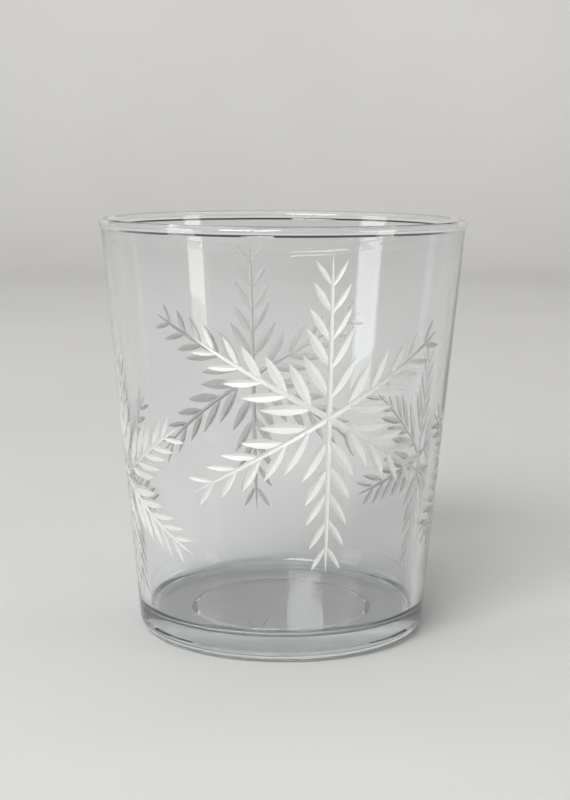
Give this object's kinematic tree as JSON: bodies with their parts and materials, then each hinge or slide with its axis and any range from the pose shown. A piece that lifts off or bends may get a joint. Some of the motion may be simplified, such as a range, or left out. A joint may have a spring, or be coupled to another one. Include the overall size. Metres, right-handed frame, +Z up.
{
  "type": "whiskey tumbler",
  "caption": "Clear glass whiskey tumbler with a straight tapering wall, a thick flat base with a recess under it, a rounded rim, and wheel-cut snowflakes round the wall",
  "frame": {"origin": "on the table, under the middle of the base", "axes": "+Z up along the axis of the glass, -Y towards the front, +X to the right"},
  "size_m": [0.088, 0.088, 0.1],
  "materials": {
    "clear_glass": "polished clear glass; the wheel cuts are left matt"
  },
  "bodies": {
    "root": {"base": "clear_glass", "side_wall": "clear_glass", "rim_bead": "clear_glass"}
  },
  "joints": []
}
